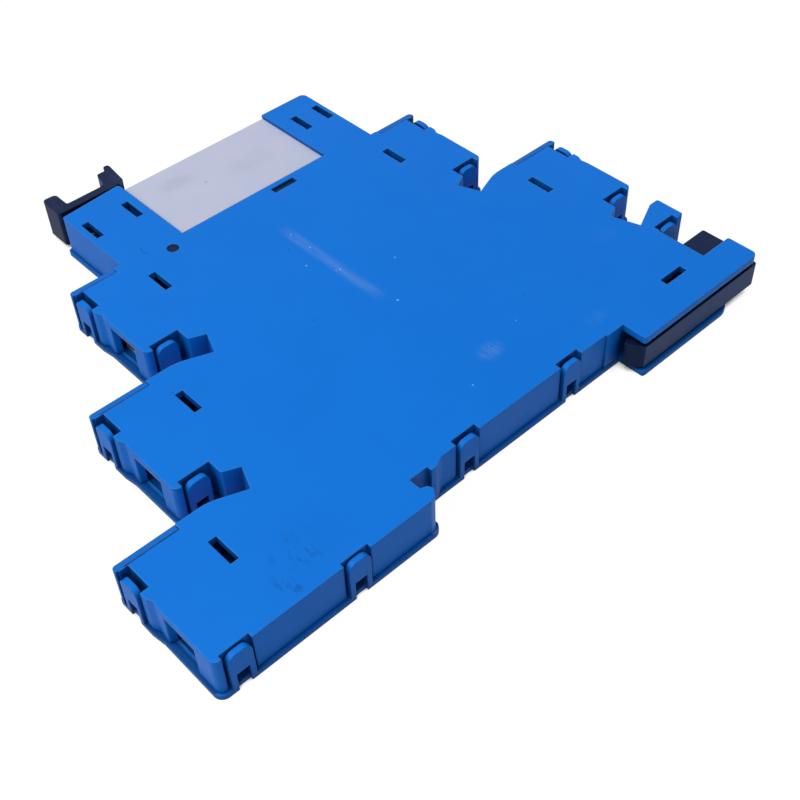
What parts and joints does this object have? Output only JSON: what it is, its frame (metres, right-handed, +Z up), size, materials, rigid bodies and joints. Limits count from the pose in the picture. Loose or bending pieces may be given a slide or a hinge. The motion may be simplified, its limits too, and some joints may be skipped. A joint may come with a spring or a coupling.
{
  "type": "slim plug-in interface relay module",
  "caption": "Slim rail-mounted interface relay module: stepped screw terminals, plug-in relay, retaining lever and sprung rail foot in a two-shell housing.",
  "frame": {"origin": "middle of the underside's bounding rectangle, the module lying on its broad side", "axes": "+X along the rail from the hook to the foot, +Y from the rail towards the relay end, +Z up through the 6.2 mm thickness"},
  "size_m": [0.0876, 0.0766, 0.0062],
  "materials": {
    "housing_blue": "satin moulded",
    "foot_black": "satin moulded",
    "relay_case": "translucent satin",
    "relay_base": "satin moulded",
    "pin_tin": "tinned",
    "contact_brass": "stamped strip",
    "cage_steel": "zinc plated",
    "screw_steel": "zinc plated",
    "spring_steel": "bright"
  },
  "bodies": {
    "housing": {"base_shell": "housing_blue", "cover_shell": "housing_blue", "foot_spring": "spring_steel", "contact_strip_1": "contact_brass", "contact_strip_2": "contact_brass", "contact_strip_3": "contact_brass", "contact_strip_4": "contact_brass", "contact_strip_5": "contact_brass"},
    "relay": {"relay_case": "relay_case", "relay_base": "relay_base", "relay_pins": "pin_tin"},
    "lever": {"retaining_lever": "foot_black"},
    "foot": {"rail_foot": "foot_black"},
    "screw_1": {"clamp_screw_1": "screw_steel"},
    "cage_1": {"clamp_cage_1": "cage_steel"},
    "screw_2": {"clamp_screw_2": "screw_steel"},
    "cage_2": {"clamp_cage_2": "cage_steel"},
    "screw_3": {"clamp_screw_3": "screw_steel"},
    "cage_3": {"clamp_cage_3": "cage_steel"},
    "screw_4": {"clamp_screw_4": "screw_steel"},
    "cage_4": {"clamp_cage_4": "cage_steel"},
    "screw_5": {"clamp_screw_5": "screw_steel"},
    "cage_5": {"clamp_cage_5": "cage_steel"}
  },
  "joints": [
    {"name": "lever_pivot", "type": "hinge", "parent": "housing", "child": "lever", "pos_m": [-0.00886, 0.01621, 0.00293], "axis": [0, 0, 1], "range_deg": [0, 9]},
    {"name": "relay_lift", "type": "slide", "parent": "housing", "child": "relay", "axis": [0, 1, 0], "range_m": [0, 0.0006]},
    {"name": "foot_slide", "type": "slide", "parent": "housing", "child": "foot", "axis": [1, 0, 0], "range_m": [0, 0.002], "stiffness_N_per_m": 2500, "deforming": ["foot_spring"]},
    {"name": "screw_1_turn", "type": "hinge", "parent": "housing", "child": "screw_1", "pos_m": [-0.01897, 0.01725, 0.00293], "axis": [0, -1, 0], "range_deg": [0, 2160]},
    {"name": "cage_1_rise", "type": "slide", "parent": "housing", "child": "cage_1", "axis": [0, 1, 0], "range_m": [0, 0.0027]},
    {"name": "screw_2_turn", "type": "hinge", "parent": "housing", "child": "screw_2", "pos_m": [-0.02908, -0.00255, 0.00293], "axis": [0, -1, 0], "range_deg": [0, 2160]},
    {"name": "cage_2_rise", "type": "slide", "parent": "housing", "child": "cage_2", "axis": [0, 1, 0], "range_m": [0, 0.0027]},
    {"name": "screw_3_turn", "type": "hinge", "parent": "housing", "child": "screw_3", "pos_m": [-0.03918, -0.02235, 0.00293], "axis": [0, -1, 0], "range_deg": [0, 2160]},
    {"name": "cage_3_rise", "type": "slide", "parent": "housing", "child": "cage_3", "axis": [0, 1, 0], "range_m": [0, 0.0027]},
    {"name": "screw_4_turn", "type": "hinge", "parent": "housing", "child": "screw_4", "pos_m": [0.02977, 0.016, 0.00293], "axis": [0, -1, 0], "range_deg": [0, 2160]},
    {"name": "cage_4_rise", "type": "slide", "parent": "housing", "child": "cage_4", "axis": [0, 1, 0], "range_m": [0, 0.0027]},
    {"name": "screw_5_turn", "type": "hinge", "parent": "housing", "child": "screw_5", "pos_m": [0.03923, -0.0032, 0.00293], "axis": [0, -1, 0], "range_deg": [0, 2160]},
    {"name": "cage_5_rise", "type": "slide", "parent": "housing", "child": "cage_5", "axis": [0, 1, 0], "range_m": [0, 0.0027]}
  ],
  "couplings": [
    {"joint": "lever_pivot", "follows": "relay_lift", "rad_per_m": 261.79},
    {"joint": "screw_1_turn", "follows": "cage_1_rise", "rad_per_m": 13962},
    {"joint": "screw_2_turn", "follows": "cage_2_rise", "rad_per_m": 13962},
    {"joint": "screw_3_turn", "follows": "cage_3_rise", "rad_per_m": 13962},
    {"joint": "screw_4_turn", "follows": "cage_4_rise", "rad_per_m": 13962},
    {"joint": "screw_5_turn", "follows": "cage_5_rise", "rad_per_m": 13962}
  ]
}
